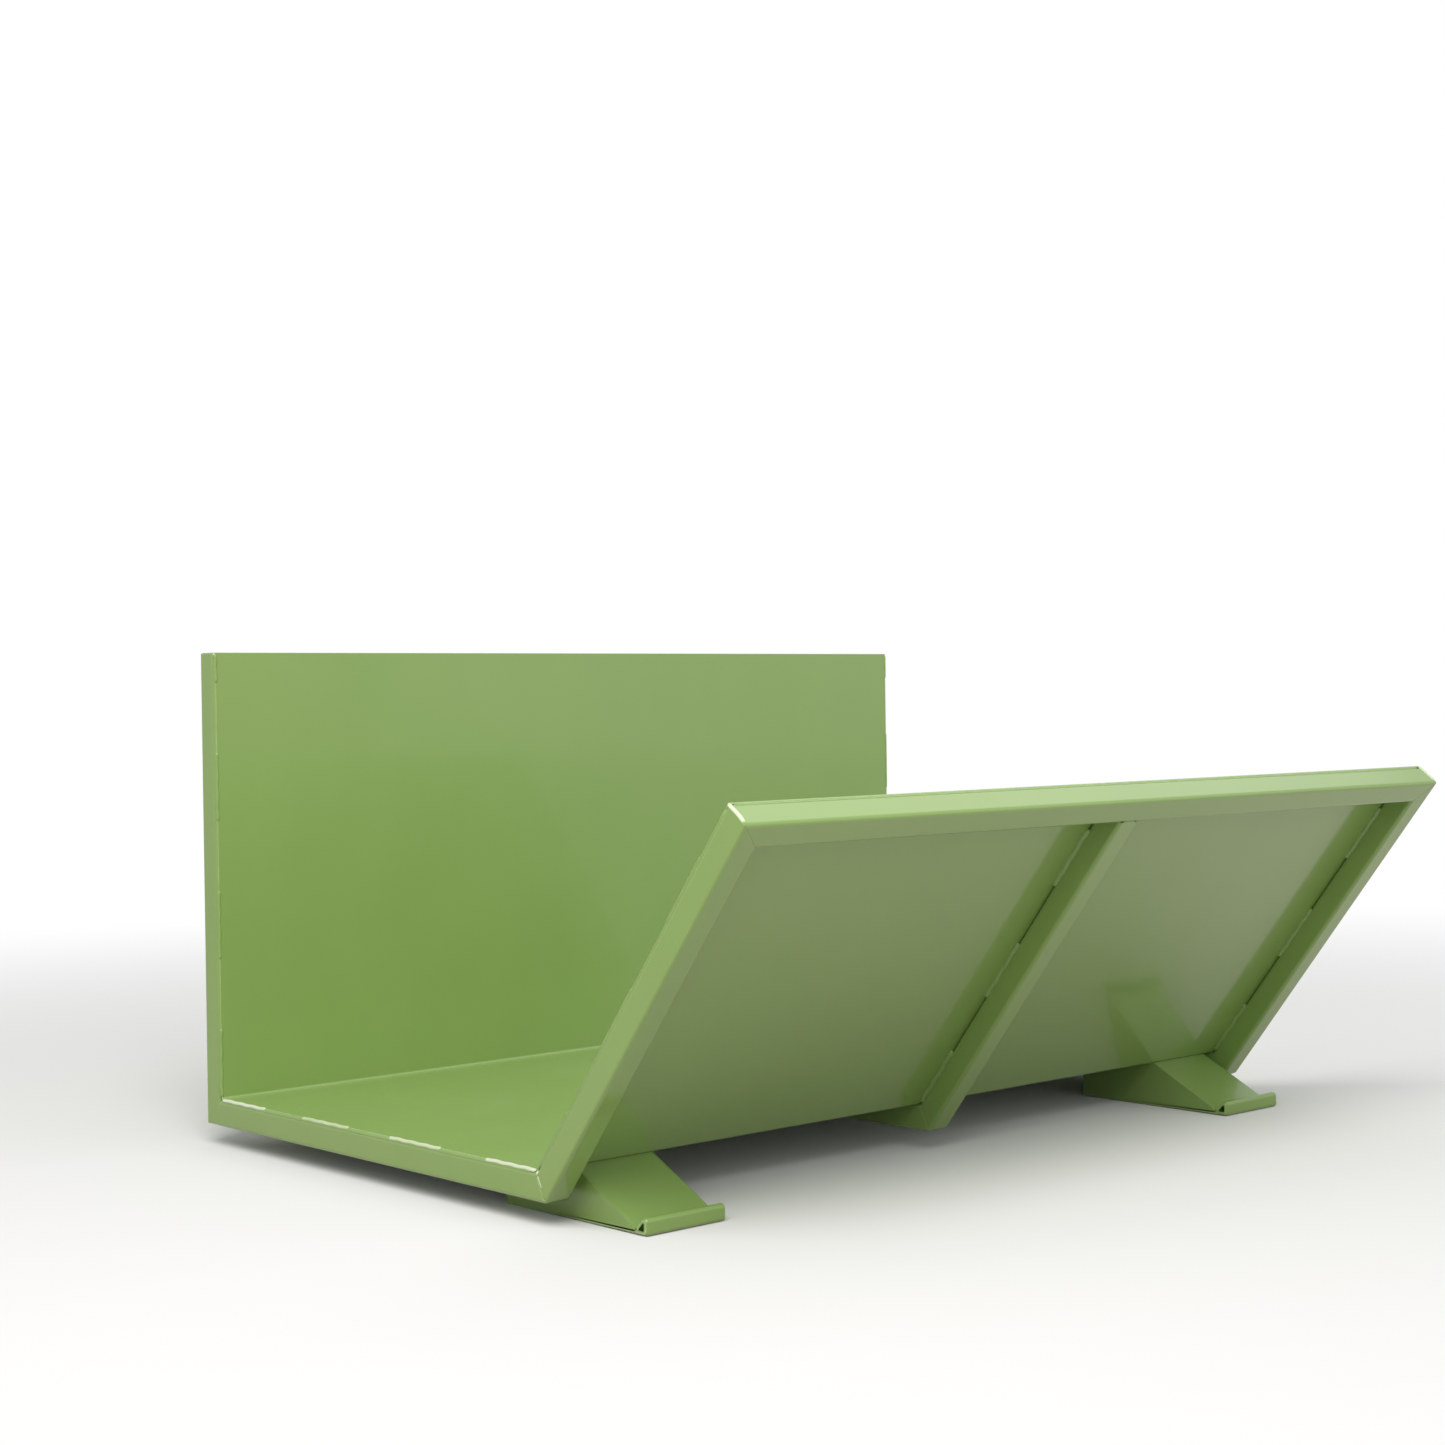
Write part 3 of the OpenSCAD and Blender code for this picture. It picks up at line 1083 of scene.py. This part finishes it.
@dataclass
class ForkClamp:
    """What holds a fork at the rear: a guide, a claw, and a screw with a swivel pad."""

    side: Side
    shape: TroughShape
    plate_radius: float = 1.1 * MM
    nut_radius: float = 0.4 * MM
    thread_pitch: float = 2.0 * MM
    crest_r: float = 7.88 * MM
    root_r: float = 6.78 * MM
    thread_steps: int = 24
    head_h: float = 10.0 * MM
    head_radius: float = 0.5 * MM
    washer_r: float = 11.2 * MM
    washer_t: float = 0.8 * MM
    tip_r: float = 5.0 * MM
    tip_length: float = 7.0 * MM
    thread_start: float = 5.4 * MM
    rim_r: float = 9.0 * MM
    rim_land: float = 2.2 * MM
    rim_groove: float = 0.8 * MM
    pad_radius: float = 0.35 * MM
    nut_weld_r: float = 13.2 * MM
    weld_gap: float = 0.8 * MM
    weld_depth: float = 1.0 * MM
    weld_end: float = 3.0 * MM

    def node(self, part: str) -> str:
        """The CAD node's name for one of the clamp's parts."""
        return f"{self.side.word}_{part}"

    def axis_point(self, x: float) -> Vector:
        """The point on the screw's axis at x."""
        low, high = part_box(self.node("clamp_nut"))
        return Vector((x, (low.y + high.y) / 2, (low.z + high.z) / 2))

    def inward(self) -> float:
        """The sign along X that points from the fork to the screw's head."""
        return -self.side.value

    def threaded_shank(self, mesh: BMesh, start: float, end: float) -> None:
        """Adds a helical thread, cut square and closed at both ends.

        Args:
            mesh: the mesh that it is added to.
            start: where it starts along X.
            end: where it ends along X.
        """
        low, high = min(start, end), max(start, end)
        pitch = self.thread_pitch
        turns = math.ceil((high - low) / pitch) + 2
        before = set(mesh.faces)
        base = self.axis_point(low - 1.5 * pitch)
        radii = (self.root_r, self.root_r, self.crest_r, self.crest_r, self.root_r)
        shares = (0.0, 0.12, 0.46, 0.66, 1.0)
        chain = [
            mesh.verts.new(base + Vector((share * pitch, radius, 0)))
            for share, radius in zip(shares, radii)
        ]
        links = [mesh.edges.new(pair) for pair in zip(chain, chain[1:])]
        bmesh.ops.spin(
            mesh,
            geom=chain + links,
            cent=base,
            axis=(1, 0, 0),
            dvec=(pitch / self.thread_steps, 0, 0),
            angle=math.tau * turns,
            steps=self.thread_steps * turns,
        )

        def thread_parts() -> tuple[list[BMVert], list[BMEdge], list[BMFace]]:
            """The thread's vertices, edges and faces."""
            faces = [f for f in mesh.faces if f not in before]
            edges = list(dict.fromkeys(e for f in faces for e in f.edges))
            return list(dict.fromkeys(v for f in faces for v in f.verts)), edges, faces

        bmesh.ops.remove_doubles(mesh, verts=thread_parts()[0], dist=0.02 * MM)
        for level, way in ((low, -1.0), (high, 1.0)):
            verts, edges, faces = thread_parts()
            cut_away(mesh, Vector((level, 0, 0)), Vector((way, 0, 0)), faces + edges + verts)

    def disc(self, mesh: BMesh, x: float, radius: float, depth: float) -> None:
        """Adds a plain disc around the screw's axis.

        Args:
            mesh: the mesh that it is added to.
            x: where its middle is.
            radius: its radius.
            depth: its thickness.
        """
        bmesh.ops.create_cone(
            mesh,
            cap_ends=True,
            segments=48,
            radius1=radius,
            radius2=radius,
            depth=depth,
            matrix=Matrix.Translation(self.axis_point(x)) @ Matrix.Rotation(math.pi / 2, 4, "Y"),
        )

    def build_screw(self) -> None:
        """Builds the screw: a real thread, its plain tip and its hexagon head."""
        node = self.node("clamp_screw")
        low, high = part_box(node)
        inward = self.inward()
        head_end, tip_end = (high.x, low.x) if inward > 0 else (low.x, high.x)
        head_face = head_end - inward * self.head_h
        mesh = merged_copy(node)
        seat = Vector((head_face + inward * 0.05 * MM, 0, 0))
        cut_away(mesh, seat, Vector((-inward, 0, 0)))
        soften_edges(mesh, self.head_radius, sharper_than=20.0)
        self.disc(mesh, tip_end + inward * self.tip_length / 2, self.tip_r, self.tip_length)
        self.disc(mesh, head_face, self.washer_r, self.washer_t)
        self.threaded_shank(mesh, tip_end + inward * self.thread_start, head_face)
        bmesh.ops.recalc_face_normals(mesh, faces=mesh.faces)
        Piece(
            f"{node}_threaded",
            Slot.SCREW,
            ZincPlate(),
            body=f"{self.side.word}_screw",
            replaced=(node,),
            smooth_below=35.0,
        ).finish_mesh(mesh)

    def build_pad(self) -> None:
        """Builds the swivel pad, with a groove turned into its rim."""
        node = self.node("clamp_pad")
        mesh = merged_copy(node)
        axis = self.axis_point(0.0)
        rim = [
            f
            for f in mesh.faces
            if abs(f.normal.x) < 0.1 and (f.calc_center_median() - axis).yz.length > self.rim_r
        ]
        bmesh.ops.inset_region(
            mesh, faces=rim, thickness=self.rim_land, depth=-self.rim_groove, use_even_offset=True
        )
        soften_edges(mesh, self.pad_radius)
        Piece(
            f"{node}_turned",
            Slot.PAD,
            TurnedSteel(axis.y, axis.z),
            body=f"{self.side.word}_pad",
            replaced=(node,),
        ).finish_mesh(mesh)

    def run_along(self, part: str, sign: float, level: float, lean: float) -> WeldRun:
        """A run along one side of a plate.

        Args:
            part: the plate's node, without its side.
            sign: which side, along X.
            level: the run's height.
            lean: 1 where the run bulges up and -1 where it bulges down.

        Returns:
            The run.
        """
        low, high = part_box(self.node(part))
        x = (low.x if sign < 0 else high.x) + sign * self.weld_gap
        start = Vector((x, high.y - self.weld_end, level))
        end = Vector((x, low.y + self.weld_end, level))
        return WeldRun(start, end, Vector((sign, 0, lean)), CLAMP_BEAD)

    def welds(self) -> Iterator[Weld]:
        """Yields the runs on the guide and the claw, and the ring around the nut."""
        under = self.shape.flats[1].fold.z - self.shape.sheet_t - self.weld_depth
        for part in ("fork_guide", "claw_plate"):
            for sign in (-1, 1):
                yield self.run_along(part, sign, under, -1)
        low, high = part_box(self.node("claw_plate"))
        inward = self.inward()
        yield self.run_along("claw_plate", -inward, low.z + self.weld_depth, 1)
        low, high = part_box(self.node("clamp_nut"))
        seat = low.x if inward > 0 else high.x
        yield WeldRing(self.axis_point(seat + inward * 0.5 * MM), self.nut_weld_r)

    def build(self) -> None:
        """Builds the clamp."""
        for part in ("fork_guide", "claw_plate", "claw_foot", "clamp_nut"):
            node = self.node(part)
            mesh = merged_copy(node)
            if part == "clamp_nut":
                soften_edges(mesh, self.nut_radius, sharper_than=20.0)
            else:
                soften_edges(mesh, self.plate_radius)
            painted(node, Slot.CLAMP, CLAMP_ENAMEL, mesh)
        self.build_screw()
        self.build_pad()
        weld_piece(f"{self.side.word}_clamp_welds", Slot.CLAMP, CLAMP_ENAMEL, self.welds())


# ---- The studio ----


@dataclass(frozen=True)
class SoftLight:
    """A rectangular light that points at a place."""

    name: str
    place: Place
    width: float
    power: float
    colour: Place = (1.0, 1.0, 1.0)
    target: Place = (0.0, 0.0, 0.35)

    def hang(self) -> None:
        """Adds the light."""
        data = bpy.data.lights.new(self.name, "AREA")
        data.shape = "SQUARE"
        data.size = self.width
        data.energy = self.power
        data.color = self.colour
        made = bpy.data.objects.new(self.name, data)
        made.location = self.place
        aim = Vector(self.target) - Vector(self.place)
        made.rotation_euler = aim.to_track_quat("-Z", "Y").to_euler()
        bpy.context.scene.collection.objects.link(made)


@dataclass
class Studio:
    """The camera, the lights and the floor."""

    eye: Place = (-2.6823, -2.7508, 0.6964)
    looks_along: Place = (0.66773, 0.74432, -0.01115)
    upright: Place = (0.01738, -0.00062, 0.99985)
    lens: float = 60.326
    sensor: float = 36.0
    floor_radius: float = 24.0
    ambient: float = 0.60
    sky: Colour = (0.97, 0.98, 1.0, 1.0)
    lamps: tuple[SoftLight, ...] = (
        SoftLight("key", (-2.8, -2.2, 3.9), width=3.0, power=162.0, colour=(1.0, 0.985, 0.95)),
        SoftLight("top", (2.9, 0.1, 3.9), width=3.4, power=30.0),
        SoftLight("fill", (3.6, -3.4, 1.6), width=2.4, power=9.0),
    )

    def place_camera(self) -> None:
        """Adds the camera and makes it the scene's own."""
        data = bpy.data.cameras.new("camera")
        data.sensor_fit = "HORIZONTAL"
        data.sensor_width = self.sensor
        data.lens = self.lens
        data.clip_start = 0.05
        data.clip_end = 100.0
        backward = -Vector(self.looks_along).normalized()
        right = Vector(self.upright).cross(backward).normalized()
        up = backward.cross(right)
        turn = Matrix((right, up, backward)).transposed()
        made = bpy.data.objects.new("camera", data)
        made.matrix_world = Matrix.Translation(Vector(self.eye)) @ turn.to_4x4()
        bpy.context.scene.collection.objects.link(made)
        bpy.context.scene.camera = made

    def lay_floor(self) -> None:
        """Adds the floor, just under the part's feet."""
        mesh = bmesh.new()
        bmesh.ops.create_circle(mesh, cap_ends=True, segments=96, radius=self.floor_radius)
        data = bpy.data.meshes.new("studio_floor")
        mesh.to_mesh(data)
        mesh.free()
        made = bpy.data.objects.new("studio_floor", data)
        data.materials.append(material_for(StudioFloor()))
        bpy.context.scene.collection.objects.link(made)

    def light(self) -> None:
        """Adds the lamps and an even white surround."""
        for lamp in self.lamps:
            lamp.hang()
        world = bpy.data.worlds.new("surround")
        world.use_nodes = True
        bpy.context.scene.world = world
        wiring = Wiring(world.node_tree)
        lights = {"Color": self.sky, "Strength": self.ambient}
        soft = wiring.node("ShaderNodeBackground", {}, lights)
        seen = wiring.node("ShaderNodeBackground", {}, {"Color": WHITE, "Strength": 1.0})
        direct = wiring.node("ShaderNodeLightPath", output="Is Camera Ray")
        both = wiring.node("ShaderNodeMixShader", {}, {0: direct, 1: soft, 2: seen})
        wiring.node("ShaderNodeOutputWorld", {}, {"Surface": both})
        bpy.context.scene.view_settings.view_transform = "Standard"

    def build(self) -> None:
        """Builds the studio."""
        self.place_camera()
        self.lay_floor()
        self.light()


def main() -> None:
    """Builds the whole scene in order."""
    logging.basicConfig(level=logging.INFO, format="%(name)s: %(message)s")
    Studio().build()
    shape = TroughShape()
    FoldedSheet(shape).build()
    TubeFrame(shape).build()
    for side in Side:
        ToePocket(side, shape).build()
        ForkClamp(side, shape).build()


if __name__ == "__main__":
    main()
